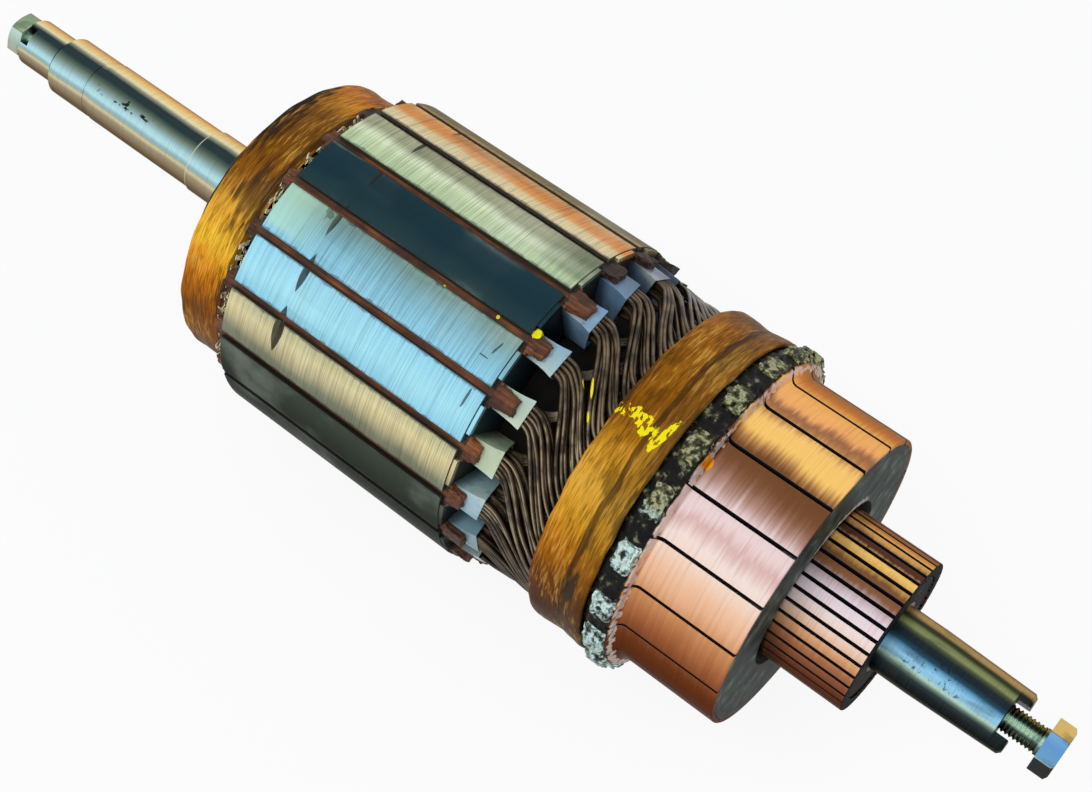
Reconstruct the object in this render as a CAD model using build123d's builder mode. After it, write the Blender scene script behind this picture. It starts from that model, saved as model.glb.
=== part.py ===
from build123d import *
from math import asin, cos, degrees, pi, radians, sin, tan
import os

# Generator armature: laminated core, wound slots, two banded winding heads and two commutators on one shaft.
# Millimetres. The shaft lies along X, the commutator end at +X, +Z up.
# The origin is on the shaft's axis, in the middle of the drive-end bearing seat.

# Shaft, from the drive end to the commutator end
pilot_diameter = 20.0
pilot_length = 19.0
pilot_chamfer = 1.0
seat_lead = 2.5
seat_diameter = 25.0
seat_length = 19.0
relief_width = 3.0
relief_depth = 0.2
journal_diameter = 25.4
journal_length = 55.0
shank_diameter = 26.6
shank_length = 63.5
stack_seat_diameter = 28.0
stack_seat_lead = 8.0
front_journal_diameter = 25.0
front_journal_length = 13.5
taper_end_diameter = 23.2
taper_length = 35.0
end_chamfer = 1.2
driver_slot_angle = 112.0
drive_slot_width = 8.0
front_slot_width = 12.5
driver_slot_depth = 5.0

# M10 bolts in the shaft's ends
bolt_diameter = 10.0
bolt_across_flats = 17.0
bolt_head_height = 6.8
bolt_thread_length = 28.0
thread_clearance = 0.15
drive_bolt_gap = 0.0
front_bolt_gap = 9.0
drive_bolt_turn = 56.0
front_bolt_turn = 28.0

# Laminated core
core_diameter = 130.0
core_length = 104.0
end_plate_thickness = 1.6
end_plate_step = 0.3
slot_count = 19
slot_phase = 180.2
slot_opening = 3.0
slot_shoulder_depth = 1.7
tooth_width = 10.8
slot_depth = 21.0
lamination_bore_clearance = 0.05

# Slot insulation and wedges
slot_fit = 0.1
liner_thickness = 0.5
liner_front_overhang = 14.5
liner_rear_overhang = 4.0
wedge_thickness = 2.0
wedge_front_overhang = 9.5
wedge_rear_overhang = 2.0

# Winding: one bundle of coil leads from each slot to its bar
bundle_fit = 0.15
bundle_rear_overhang = 4.0
fan_start = 14.5
fan_gap_angle = 1.9
lead_pitches = 2
fan_neck_drop = 6.2
fan_neck_depth = 10.8
fan_bend_drop = 5.5
fan_bend_depth = 10.5
fan_top_drop = 4.9
fan_top_depth = 9.1
fan_end_depth = 7.1
rear_head_length = 30.0
rear_head_drop = 8.8
rear_head_chamfer = 7.0

# Bands of resin-bonded glass tape
rear_band_width = 22.0
rear_band_offset = 5.5
rear_band_thickness = 1.5
band_fit = 0.1
front_band_offset = 36.0
front_band_width = 23.0
front_band_thickness = 2.6
front_band_rim_rise = 1.0
front_band_rim_width = 9.0

# Large commutator
large_offset = 61.0
large_length = 48.3
large_bar_phase = 168.8
large_slit_width = 1.0
riser_length = 8.5
riser_drop = 1.4
riser_step = 6.2
riser_ramp = 2.4
bar_depth = 5.8
bar_front_lip = 2.0
dovetail_depth = 4.0
dovetail_inset = 5.0
dovetail_slope = 2.0
moulding_gap = 0.1
recess_radius = 33.2
recess_depth = 6.3
vent_hole_diameter = 1.6
vent_hole_depth = 3.0
vent_hole_radius = 40.8
vent_hole_angle = 207.8
solder_height = 1.9
solder_width = 12.0
solder_chamfer = 0.8

# Small commutator
small_length = 37.65
small_radius = 29.4
small_bar_count = 38
small_bar_phase = 174.84
small_slit_width = 0.95
small_bar_depth = 5.0
small_body_recess = 0.6

# Leads that run under the large commutator
lead_thickness = 1.8
lead_width = 5.6
lead_radius = 25.0
lead_reach = 50.0
lead_setback = 3.5
lead_clearance = 0.2

# Stations along the shaft
seat_start = -seat_length / 2
seat_end = seat_length / 2
pilot_end = seat_start - seat_lead
drive_end = pilot_end - pilot_length
relief_end = seat_end + relief_width
journal_end = relief_end + journal_length
stack_seat_start = journal_end + shank_length
core_start = stack_seat_start + stack_seat_lead
core_end = core_start + core_length
stack_start = core_start + end_plate_thickness
stack_end = core_end - end_plate_thickness
large_start = core_end + large_offset
large_end = large_start + large_length
small_start = large_end - recess_depth
small_end = small_start + small_length
front_journal_end = small_end + front_journal_length
front_end = front_journal_end + taper_length

# Radii and angles that follow
core_radius = core_diameter / 2
slot_pitch = 360 / slot_count
small_pitch = 360 / small_bar_count
shoulder_radius = core_radius - slot_shoulder_depth
slot_floor_radius = core_radius - slot_depth
wedge_top_radius = shoulder_radius - slot_fit
wedge_floor_radius = wedge_top_radius - wedge_thickness
liner_top_radius = wedge_floor_radius - slot_fit
liner_floor_radius = slot_floor_radius + slot_fit
small_floor_radius = small_radius - small_bar_depth
riser_front = large_start + riser_length
riser_radius = core_radius - riser_drop
large_radius = riser_radius - riser_step
solder_radius = riser_radius + solder_height
bar_floor_radius = large_radius - bar_depth
dovetail_radius = bar_floor_radius - dovetail_depth
body_bore_radius = stack_seat_diameter / 2 + moulding_gap
small_body_end = small_end - small_body_recess

os.makedirs("parts", exist_ok=True)


def save(builder, name):
    """Label a finished piece and write it as one file."""
    builder.part.label = name
    export_step(builder.part, f"parts/{name}.step")


def slot_half_width(radius):
    """Half the width of a slot at a radius, between teeth of even width."""
    return radius * sin(pi / slot_count) - tooth_width / 2


def trapezium(floor_radius, top_radius, inset):
    """Corners of a slot's cross-section between two radii, drawn in from the teeth."""
    floor_half = slot_half_width(floor_radius) - inset
    top_half = slot_half_width(top_radius) - inset
    return [
        (floor_radius, -floor_half),
        (top_radius, -top_half),
        (top_radius, top_half),
        (floor_radius, floor_half),
    ]


def slot_outline(shoulder, floor_radius, opening, inset):
    """Corners of a whole slot, from its mouth outside the core down to its floor."""
    half_opening = opening / 2
    mouth_radius = core_radius + slot_opening
    lower = trapezium(floor_radius, shoulder, inset)
    return [
        (mouth_radius, half_opening),
        (shoulder, half_opening),
        lower[2],
        lower[3],
        lower[0],
        lower[1],
        (shoulder, -half_opening),
        (mouth_radius, -half_opening),
    ]


def radial_plane(x, angle):
    """A plane across the shaft at x, with its own x axis pointing out at an angle."""
    outward = (0, cos(radians(angle)), sin(radians(angle)))
    return Plane(origin=(x, 0, 0), x_dir=outward, z_dir=(1, 0, 0))


def axial_plane(angle):
    """A plane through the shaft's axis, with its x axis along the shaft and its y axis out at an angle."""
    return Plane(origin=(0, 0, 0), x_dir=(1, 0, 0), z_dir=(0, -sin(radians(angle)), cos(radians(angle))))


def sector_angle(pitch, slit_width, radius):
    """Angle of a commutator bar once its slit is taken from the pitch."""
    return pitch - degrees(2 * asin(slit_width / 2 / radius))


# Shaft, turned in one piece, with a driver slot and a tapped hole in each end
pilot_radius = pilot_diameter / 2
seat_radius = seat_diameter / 2
journal_radius = journal_diameter / 2
shank_radius = shank_diameter / 2
stack_seat_radius = stack_seat_diameter / 2
front_journal_radius = front_journal_diameter / 2
taper_end_radius = taper_end_diameter / 2
hole_radius = bolt_diameter / 2 + thread_clearance

with BuildPart() as shaft:
    with BuildSketch(Plane.XY):
        with BuildLine():
            Polyline(
                (drive_end, 0),
                (drive_end, pilot_radius - pilot_chamfer),
                (drive_end + pilot_chamfer, pilot_radius),
                (pilot_end, pilot_radius),
                (seat_start, seat_radius),
                (seat_end, seat_radius),
                (seat_end, seat_radius - relief_depth),
                (relief_end, seat_radius - relief_depth),
                (relief_end, journal_radius),
                (journal_end, journal_radius),
                (journal_end, shank_radius),
                (stack_seat_start, shank_radius),
                (stack_seat_start, stack_seat_radius),
                (small_body_end, stack_seat_radius),
                (small_body_end, front_journal_radius),
                (front_journal_end, front_journal_radius),
                (front_end - end_chamfer, taper_end_radius),
                (front_end, taper_end_radius - end_chamfer),
                (front_end, 0),
                close=True,
            )
        make_face()
    revolve(axis=Axis.X)
    with BuildSketch(Plane.YZ.offset(drive_end)):
        Rectangle(journal_diameter, drive_slot_width, rotation=driver_slot_angle)
    extrude(amount=driver_slot_depth, mode=Mode.SUBTRACT)
    with BuildSketch(Plane.YZ.offset(front_end)):
        Rectangle(journal_diameter, front_slot_width, rotation=driver_slot_angle)
    extrude(amount=-driver_slot_depth, mode=Mode.SUBTRACT)
    with BuildSketch(Plane.YZ.offset(drive_end)):
        Circle(hole_radius)
    extrude(amount=bolt_thread_length, mode=Mode.SUBTRACT)
    with BuildSketch(Plane.YZ.offset(front_end)):
        Circle(hole_radius)
    extrude(amount=-bolt_thread_length, mode=Mode.SUBTRACT)
save(shaft, "shaft")


def make_bolt(name, face, way, gap, turn):
    """A hexagon bolt whose head stands a gap off one end face of the shaft."""
    seat = face + way * gap
    corner_radius = bolt_across_flats / 2 / cos(pi / 6)
    with BuildPart() as bolt:
        with BuildSketch(Plane.YZ.offset(seat)):
            RegularPolygon(corner_radius, 6, rotation=turn)
        extrude(amount=way * bolt_head_height)
        with BuildSketch(Plane.YZ.offset(seat)):
            Circle(bolt_diameter / 2)
        extrude(amount=-way * bolt_thread_length)
    save(bolt, name)


make_bolt("drive_end_bolt", drive_end, -1, drive_bolt_gap, drive_bolt_turn)
make_bolt("commutator_end_bolt", front_end, 1, front_bolt_gap, front_bolt_turn)

# Core: the stack of laminations between two end plates
bore_radius = stack_seat_radius + lamination_bore_clearance
stack_slot = slot_outline(shoulder_radius, slot_floor_radius, slot_opening, 0)

with BuildPart() as core_laminations:
    with BuildSketch(Plane.YZ.offset(stack_start)):
        Circle(core_radius)
        Circle(bore_radius, mode=Mode.SUBTRACT)
        with PolarLocations(0, slot_count, start_angle=slot_phase):
            Polygon(*stack_slot, align=None, mode=Mode.SUBTRACT)
    extrude(amount=stack_end - stack_start)
save(core_laminations, "core_laminations")

plate_slot = trapezium(slot_floor_radius, core_diameter, 0)

for plate_name, plate_start in (("rear_end_plate", core_start), ("front_end_plate", stack_end)):
    with BuildPart() as end_plate:
        with BuildSketch(Plane.YZ.offset(plate_start)):
            Circle(core_radius - end_plate_step)
            Circle(bore_radius, mode=Mode.SUBTRACT)
            with PolarLocations(0, slot_count, start_angle=slot_phase):
                Polygon(*plate_slot, align=None, mode=Mode.SUBTRACT)
        extrude(amount=end_plate_thickness)
    save(end_plate, plate_name)

# Slot liners: folded tubes of insulating film, one in each slot
liner_start = core_start - liner_rear_overhang
liner_end = core_end + liner_front_overhang
liner_outer = trapezium(liner_floor_radius, liner_top_radius, slot_fit)
liner_inner = trapezium(
    liner_floor_radius + liner_thickness,
    liner_top_radius - liner_thickness,
    slot_fit + liner_thickness,
)

with BuildPart() as slot_liners:
    with BuildSketch(Plane.YZ.offset(liner_start)):
        with PolarLocations(0, slot_count, start_angle=slot_phase):
            Polygon(*liner_outer, align=None)
            Polygon(*liner_inner, align=None, mode=Mode.SUBTRACT)
    extrude(amount=liner_end - liner_start)
save(slot_liners, "slot_liners")

# Wedges: fibre strips that close the slots under the tooth tips
wedge_start = core_start - wedge_rear_overhang
wedge_end = core_end + wedge_front_overhang
wedge_outline = trapezium(wedge_floor_radius, wedge_top_radius, slot_fit)

with BuildPart() as slot_wedges:
    with BuildSketch(Plane.YZ.offset(wedge_start)):
        with PolarLocations(0, slot_count, start_angle=slot_phase):
            Polygon(*wedge_outline, align=None)
    extrude(amount=wedge_end - wedge_start)
save(slot_wedges, "slot_wedges")

# Winding bundles: straight in the slot, then fanned out and swept round to a riser
bundle_start = core_start - bundle_rear_overhang
fan_start_x = core_end + fan_start
fan_length = large_start - fan_start_x
bundle_inset = slot_fit + liner_thickness + bundle_fit
bundle_floor = liner_floor_radius + liner_thickness + bundle_fit
bundle_top = liner_top_radius - liner_thickness - bundle_fit
bar_centre_offset = (large_bar_phase - slot_phase - slot_pitch / 2) % slot_pitch - slot_pitch
sweep_angle = lead_pitches * slot_pitch + bar_centre_offset
fan_half_angle = (slot_pitch - fan_gap_angle) / 2
fan_neck_radius = core_radius - fan_neck_drop
fan_bend_radius = core_radius - fan_bend_drop
fan_top_radius = core_radius - fan_top_drop

# Each step of the fan: share of its length, share of its sweep, top radius, depth, share of its width
fan_steps = (
    (0.12, 0.15, fan_neck_radius, fan_neck_depth, 0.72),
    (0.42, 0.76, fan_bend_radius, fan_bend_depth, 1.00),
    (0.68, 0.93, fan_top_radius, fan_top_depth, 1.00),
    (1.00, 1.00, fan_top_radius, fan_end_depth, 0.92),
)


def fan_outline(top_radius, depth, share):
    """Corners of a fanned bundle: two chords outside and a flat inside."""
    floor_radius = top_radius - depth
    half = radians(fan_half_angle * share)
    top = [(top_radius * cos(a), top_radius * sin(a)) for a in (-half, 0, half)]
    floor = [(floor_radius * cos(a), floor_radius * sin(a)) for a in (half, -half)]
    return top + floor


def slot_section():
    """Corners of a bundle inside its liner, in the same order as a fanned outline."""
    corners = trapezium(bundle_floor, bundle_top, bundle_inset)
    return [corners[1], (bundle_top, 0), corners[2], corners[3], corners[0]]


def placed(outline, x, angle):
    """Corners of an outline in space, standing across the shaft at x and turned to an angle."""
    plane = radial_plane(x, angle)
    return [plane.from_local_coords(corner) for corner in outline]


for number in range(slot_count):
    slot_angle = slot_phase + number * slot_pitch
    sections = [placed(slot_section(), fan_start_x, slot_angle)]
    for reach, sweep, top_radius, depth, share in fan_steps:
        section_x = fan_start_x + reach * fan_length
        section_angle = slot_angle + sweep * sweep_angle
        sections.append(placed(fan_outline(top_radius, depth, share), section_x, section_angle))
    with BuildPart() as bundle:
        with BuildSketch(radial_plane(bundle_start, slot_angle)):
            Polygon(*slot_section(), align=None)
        extrude(amount=fan_start_x - bundle_start)
        for near, far in zip(sections, sections[1:]):
            ConvexPolyhedron(near + far)
    save(bundle, f"winding_bundle_{number + 1:02d}")

# Rear winding head: the end turns under the rear band, one flat to each coil side
turns_end = bundle_start
turns_start = turns_end - rear_head_length
rear_head_radius = core_radius - rear_head_drop

with BuildPart() as rear_end_turns:
    with BuildSketch(Plane.YZ.offset(turns_start)):
        RegularPolygon(rear_head_radius, 2 * slot_count)
    extrude(amount=rear_head_length)
    outer_edges = rear_end_turns.edges().group_by(Axis.X)[0]
    chamfer(outer_edges, length=rear_head_chamfer)
    with BuildSketch(Plane.YZ.offset(turns_start)):
        RegularPolygon(slot_floor_radius, slot_count)
    extrude(amount=rear_head_length, mode=Mode.SUBTRACT)
save(rear_end_turns, "rear_end_turns")

# Rear band
rear_band_end = core_start - rear_band_offset
rear_band_start = rear_band_end - rear_band_width
rear_band_bore = rear_head_radius + band_fit

with BuildPart() as rear_band:
    with BuildSketch(Plane.YZ.offset(rear_band_start)):
        Circle(rear_band_bore + rear_band_thickness)
        Circle(rear_band_bore, mode=Mode.SUBTRACT)
    extrude(amount=rear_band_width)
save(rear_band, "rear_band")

# Front band: flared at the rim that stands against the risers
front_band_bore = fan_top_radius + band_fit
front_band_radius = front_band_bore + front_band_thickness
front_band_rim_radius = front_band_radius + front_band_rim_rise
front_band_start = core_end + front_band_offset
front_band_end = front_band_start + front_band_width

with BuildPart() as front_band:
    with BuildSketch(Plane.XY):
        with BuildLine():
            Polyline(
                (front_band_start, front_band_bore),
                (front_band_start, front_band_radius),
                (front_band_end - front_band_rim_width, front_band_radius),
                (front_band_end, front_band_rim_radius),
                (front_band_end, front_band_bore),
                close=True,
            )
        make_face()
    revolve(axis=Axis.X)
save(front_band, "front_band")

# Large commutator: copper bars with risers, hooked into a moulded body
dovetail_start = large_start + dovetail_inset
dovetail_end = large_end - dovetail_inset
lip_radius = large_radius - bar_front_lip
large_bar_angle = sector_angle(slot_pitch, large_slit_width, large_radius)
ramp_end = riser_front + riser_ramp

large_bar_side = [
    (large_start, bar_floor_radius),
    (large_start, riser_radius),
    (riser_front, riser_radius),
    (ramp_end, large_radius),
    (large_end, large_radius),
    (large_end, lip_radius),
    (dovetail_end, lip_radius),
    (dovetail_end, dovetail_radius),
    (dovetail_start, dovetail_radius),
    (dovetail_start + dovetail_slope, bar_floor_radius),
]

for number in range(slot_count):
    bar_angle = large_bar_phase + (number + 1 / 2) * slot_pitch
    with BuildPart() as large_bar:
        with BuildSketch(axial_plane(bar_angle)):
            Polygon(*large_bar_side, align=None)
        extrude(amount=riser_radius, both=True)
        with BuildSketch(axial_plane(bar_angle - large_bar_angle / 2)):
            with BuildLine():
                Polyline(
                    (large_start, 0),
                    (large_start, solder_radius),
                    (ramp_end, solder_radius),
                    (ramp_end, large_radius),
                    (large_end, large_radius),
                    (large_end, 0),
                    close=True,
                )
            make_face()
        revolve(axis=Axis.X, revolution_arc=large_bar_angle, mode=Mode.INTERSECT)
    save(large_bar, f"large_bar_{number + 1:02d}")

# Moulded body: flats under the bars, a lip over their front ends and a recess round the small commutator
body_turn = large_bar_phase + slot_pitch / 2


def flats(x, apothem):
    """A polygon across the shaft with one flat under each large bar."""
    with BuildSketch(radial_plane(x, body_turn)) as outline:
        RegularPolygon(apothem, slot_count, major_radius=False, rotation=slot_pitch / 2)
    return outline.sketch


neck_radius = bar_floor_radius - moulding_gap
foot_radius = dovetail_radius - moulding_gap
hook_end = dovetail_start + dovetail_slope - moulding_gap
lip_start = dovetail_end + moulding_gap

with BuildPart() as large_commutator_body:
    extrude(flats(large_start, neck_radius), amount=hook_end - large_start)
    loft([flats(hook_end - dovetail_slope, foot_radius), flats(hook_end, neck_radius)], mode=Mode.SUBTRACT)
    extrude(flats(large_start, foot_radius), amount=large_length)
    extrude(flats(lip_start, lip_radius - moulding_gap), amount=large_end - lip_start)
    with BuildSketch(Plane.YZ.offset(large_start)):
        Circle(body_bore_radius)
    extrude(amount=large_length, mode=Mode.SUBTRACT)
    with BuildSketch(Plane.YZ.offset(large_end)):
        Circle(recess_radius)
    extrude(amount=-recess_depth, mode=Mode.SUBTRACT)
    with BuildSketch(Plane.YZ.offset(large_start)):
        with PolarLocations(lead_radius, slot_count, start_angle=small_bar_phase + small_pitch / 2):
            Rectangle(lead_thickness + lead_clearance * 2, lead_width + lead_clearance * 2)
    extrude(amount=small_start - large_start, mode=Mode.SUBTRACT)
    with BuildSketch(Plane.YZ.offset(large_end)):
        with PolarLocations(vent_hole_radius, 1, start_angle=vent_hole_angle):
            Circle(vent_hole_diameter / 2)
    extrude(amount=-vent_hole_depth, mode=Mode.SUBTRACT)
save(large_commutator_body, "large_commutator_body")

# Solder on the risers, one lump over each bar's lead
with BuildPart() as solder_joints:
    with BuildSketch(Plane.YZ.offset(large_start + solder_chamfer)):
        with PolarLocations(0, slot_count, start_angle=large_bar_phase + slot_pitch / 2):
            Polygon(
                (riser_radius, -solder_width / 2),
                (solder_radius, -solder_width / 2 + solder_chamfer),
                (solder_radius, solder_width / 2 - solder_chamfer),
                (riser_radius, solder_width / 2),
                align=None,
            )
    extrude(amount=riser_length - solder_chamfer * 2)
save(solder_joints, "solder_joints")

# Small commutator: copper bars on a moulded body, which has one flat under each bar
small_bar_floor_half = small_floor_radius * tan(pi / small_bar_count) - small_slit_width / 2
small_bar_top_half = core_radius * tan(pi / small_bar_count) - small_slit_width / 2

with BuildPart() as small_commutator_bars:
    with BuildSketch(Plane.YZ.offset(small_start)):
        with PolarLocations(0, small_bar_count, start_angle=small_bar_phase):
            Polygon(
                (small_floor_radius, -small_bar_floor_half),
                (core_radius, -small_bar_top_half),
                (core_radius, small_bar_top_half),
                (small_floor_radius, small_bar_floor_half),
                align=None,
            )
        Circle(small_radius, mode=Mode.INTERSECT)
    extrude(amount=small_length)
save(small_commutator_bars, "small_commutator_bars")

with BuildPart() as small_commutator_body:
    with BuildSketch(radial_plane(small_start, small_bar_phase)):
        RegularPolygon(
            small_floor_radius - moulding_gap,
            small_bar_count,
            major_radius=False,
            rotation=small_pitch / 2,
        )
        Circle(body_bore_radius, mode=Mode.SUBTRACT)
    extrude(amount=small_body_end - small_start)
save(small_commutator_body, "small_commutator_body")

# Leads of the small commutator: twin strips through the moulded body to the winding head
lead_half = lead_thickness / 2

with BuildPart() as small_commutator_leads:
    for number in range(slot_count):
        with BuildSketch(axial_plane(small_bar_phase + small_pitch / 2 + number * slot_pitch)):
            Polygon(
                (small_start, lead_radius - lead_half),
                (small_start, lead_radius + lead_half),
                (large_start - lead_setback + lead_thickness, lead_radius + lead_half),
                (large_start - lead_setback + lead_thickness, lead_reach),
                (large_start - lead_setback, lead_reach),
                (large_start - lead_setback, lead_radius - lead_half),
                align=None,
            )
        extrude(amount=lead_width / 2, both=True)
save(small_commutator_leads, "small_commutator_leads")
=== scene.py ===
import bpy
import math
import random
from mathutils import Matrix, Vector, noise


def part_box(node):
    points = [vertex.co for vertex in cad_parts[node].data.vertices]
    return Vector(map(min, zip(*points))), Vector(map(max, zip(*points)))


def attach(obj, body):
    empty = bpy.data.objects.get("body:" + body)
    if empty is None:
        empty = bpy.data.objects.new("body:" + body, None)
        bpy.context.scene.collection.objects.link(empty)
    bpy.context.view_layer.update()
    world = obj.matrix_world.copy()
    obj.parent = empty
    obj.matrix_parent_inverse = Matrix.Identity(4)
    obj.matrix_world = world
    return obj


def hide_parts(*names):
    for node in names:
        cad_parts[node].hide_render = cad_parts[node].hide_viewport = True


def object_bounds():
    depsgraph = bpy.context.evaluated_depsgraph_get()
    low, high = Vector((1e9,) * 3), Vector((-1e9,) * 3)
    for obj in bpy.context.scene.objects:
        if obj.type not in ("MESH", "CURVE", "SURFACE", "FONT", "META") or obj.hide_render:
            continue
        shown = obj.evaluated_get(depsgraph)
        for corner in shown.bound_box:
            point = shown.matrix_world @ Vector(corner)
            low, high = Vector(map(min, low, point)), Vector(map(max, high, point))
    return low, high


# Generator armature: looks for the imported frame. Lengths are in millimetres until spot() places them.
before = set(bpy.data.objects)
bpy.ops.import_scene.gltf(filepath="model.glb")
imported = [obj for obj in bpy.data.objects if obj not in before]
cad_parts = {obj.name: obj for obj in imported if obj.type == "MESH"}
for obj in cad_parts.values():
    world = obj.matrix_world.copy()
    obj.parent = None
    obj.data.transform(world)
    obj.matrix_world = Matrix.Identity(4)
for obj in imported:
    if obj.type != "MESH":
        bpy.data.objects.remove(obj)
noise.seed_set(7)                                      # so that every run draws the same lumps
cadLow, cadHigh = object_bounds()
bpy.ops.object.select_all(action="DESELECT")
print("frame loaded")

mm = 0.001
weldGap = 1e-6             # metres
slotCount = 19
slotPitch = 360 / slotCount
slotPhase = 180.2          # middle of one slot, degrees from +Y towards +Z
barPhase = 168.8           # middle of one slit of the large commutator
smallCount = 38
smallPitch = 360 / smallCount
smallPhase = 174.84        # middle of one bar of the small commutator
smallSlitPhase = smallPhase + smallPitch / 2
driverAngle = 112.0        # across the driver slots of the shaft
viewAngle = 115.0          # the side that faces the camera
seamAngle = viewAngle - 180


def spot(x, radius, angle):
    turn = math.radians(angle)
    return Vector((x * mm, radius * mm * math.cos(turn), radius * mm * math.sin(turn)))


def stretch(node):
    low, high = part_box(node)
    reach = max(high.y, high.z, -low.y, -low.z)
    return low.x / mm, high.x / mm, reach / mm


coreStart, _, coreRadius = stretch("core_laminations")
rearFace = stretch("rear_end_plate")[0] + 0.1
plateStart, plateEnd, _ = stretch("front_end_plate")
largeStart, largeEnd, _ = stretch("large_bar_01")
smallStart, smallEnd, smallRadius = stretch("small_commutator_bars")
linerStart, linerEnd, _ = stretch("slot_liners")
wedgeStart = stretch("slot_wedges")[0]
turnsStart, turnsEnd, _ = stretch("rear_end_turns")
shaftStart, shaftEnd, _ = stretch("shaft")


# Mesh work, as by hand
def focus(piece):
    bpy.ops.object.select_all(action="DESELECT")
    piece.select_set(True)
    bpy.context.view_layer.objects.active = piece


def startOutline(name, points, fill="NGON"):
    bpy.ops.mesh.primitive_circle_add(vertices=len(points), radius=mm, fill_type=fill)
    piece = bpy.context.object
    piece.name = name
    for vertex, point in zip(piece.data.vertices, points):
        vertex.co = point
    return piece


def inEdit(piece, *steps):
    focus(piece)
    bpy.ops.object.mode_set(mode="EDIT")
    bpy.ops.mesh.select_all(action="SELECT")
    for step in steps:
        step()
    bpy.ops.object.mode_set(mode="OBJECT")


def closeUp(piece):
    inEdit(
        piece,
        lambda: bpy.ops.mesh.remove_doubles(threshold=weldGap),
        bpy.ops.mesh.delete_loose,
        lambda: bpy.ops.mesh.select_all(action="SELECT"),
        lambda: bpy.ops.mesh.normals_make_consistent(inside=False),
    )


def spinRound(piece, turn, steps):
    inEdit(piece, lambda: bpy.ops.mesh.spin(
        steps=steps, angle=math.radians(turn), center=(0, 0, 0), axis=(1, 0, 0),
    ))
    closeUp(piece)


def lathe(name, profile, steps=96):
    piece = startOutline(name, [spot(x, radius, seamAngle) for x, radius in profile], "NOTHING")
    spinRound(piece, 360, steps)
    return piece


def extrude(length):
    bpy.ops.mesh.extrude_region_move(TRANSFORM_OT_translate={"value": (length * mm, 0, 0)})


def prism(name, outline, length):
    piece = startOutline(name, outline)
    inEdit(piece, lambda: extrude(length))
    closeUp(piece)
    return piece


def crossSection(x, floor, top, half):
    corners = ((floor, -1), (top, -1), (top, 1), (floor, 1))
    return [Vector((x, radius, side * half(radius))) * mm for radius, side in corners]


def scaleOut(vertex, share):
    vertex.co.y *= share
    vertex.co.z *= share


def turnMesh(piece, angle):
    piece.data.transform(Matrix.Rotation(math.radians(angle), 4, "X"))


def useModifier(piece, kind, **settings):
    focus(piece)
    modifier = piece.modifiers.new(kind.title(), kind)
    for key, value in settings.items():
        setattr(modifier, key, value)
    bpy.ops.object.modifier_apply(modifier=modifier.name)


def breakEdges(piece, width, segments=2, limit=30):
    useModifier(
        piece, "BEVEL", width=width * mm, segments=segments,
        limit_method="ANGLE", angle_limit=math.radians(limit),
    )


def cutAway(piece, cutters, operation="DIFFERENCE"):
    for cutter in cutters:
        useModifier(piece, "BOOLEAN", operation=operation, object=cutter, solver="EXACT")
        bpy.data.objects.remove(cutter)


def joinAll(name, pieces):
    bpy.ops.object.select_all(action="DESELECT")
    for piece in pieces:
        piece.select_set(True)
    bpy.context.view_layer.objects.active = pieces[0]
    if len(pieces) > 1:
        bpy.ops.object.join()
    pieces[0].name = name
    return pieces[0]


def mergedCopy(name, node):
    piece = bpy.data.objects.new(name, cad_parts[node].data.copy())
    bpy.context.scene.collection.objects.link(piece)
    piece.data.materials.clear()
    closeUp(piece)
    inEdit(piece, lambda: bpy.ops.mesh.dissolve_limited(angle_limit=math.radians(0.5)))
    return piece


def turnedCopy(piece, name, angle):
    copy = piece.copy()
    copy.data = piece.data.copy()
    copy.name = name
    bpy.context.scene.collection.objects.link(copy)
    turnMesh(copy, angle)
    return copy


def strandPiece(name, strands, radius, fineness):
    bpy.ops.curve.primitive_nurbs_path_add()
    piece = bpy.context.object
    piece.name = name
    piece.data.splines.clear()
    piece.data.bevel_depth = radius * mm
    piece.data.bevel_resolution = 1
    piece.data.use_fill_caps = True
    piece.data.resolution_u = fineness
    for points in strands:
        spline = piece.data.splines.new("NURBS")
        spline.points.add(len(points) - 1)
        for knot, point in zip(spline.points, points):
            knot.co = (*point, 1)
        spline.order_u = 3
        spline.use_endpoint_u = True
    focus(piece)
    bpy.ops.object.convert(target="MESH")
    closeUp(piece)
    bpy.ops.object.shade_smooth()
    return piece


def makeLump(size, cuts, rough, grain, seed):
    bpy.ops.mesh.primitive_cube_add(size=1)
    lump = bpy.context.object
    inEdit(lump, lambda: bpy.ops.mesh.subdivide(number_cuts=cuts))
    offset = Vector((seed * 3.7, seed, 0))
    for vertex in lump.data.vertices:
        place = Vector([side * part for side, part in zip(size, vertex.co)])
        wander = noise.noise_vector(place / grain + offset)
        wander += noise.noise_vector(place / grain * 2.6 + offset) * 0.4
        vertex.co = place + wander * rough
    return lump


def wrapLump(lump, x, radius, angle, highest=65.4):
    for vertex in lump.data.vertices:
        forward, across, out = vertex.co
        reach = min(radius + out, highest)
        vertex.co = spot(x + forward, reach, angle + math.degrees(across / reach))


def finishPiece(piece, paint, nodes=(), limit=0):
    if limit:
        focus(piece)
        bpy.ops.object.shade_smooth_by_angle(angle=math.radians(limit))
    piece.data.materials.clear()
    piece.data.materials.append(paint.material)
    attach(piece, "root")
    if nodes:
        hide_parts(*nodes)


def dressCopy(name, node, paint, edge, limit=30):
    piece = mergedCopy(name, node)
    breakEdges(piece, edge, 1, 40)
    finishPiece(piece, paint, [node], limit)


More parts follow.
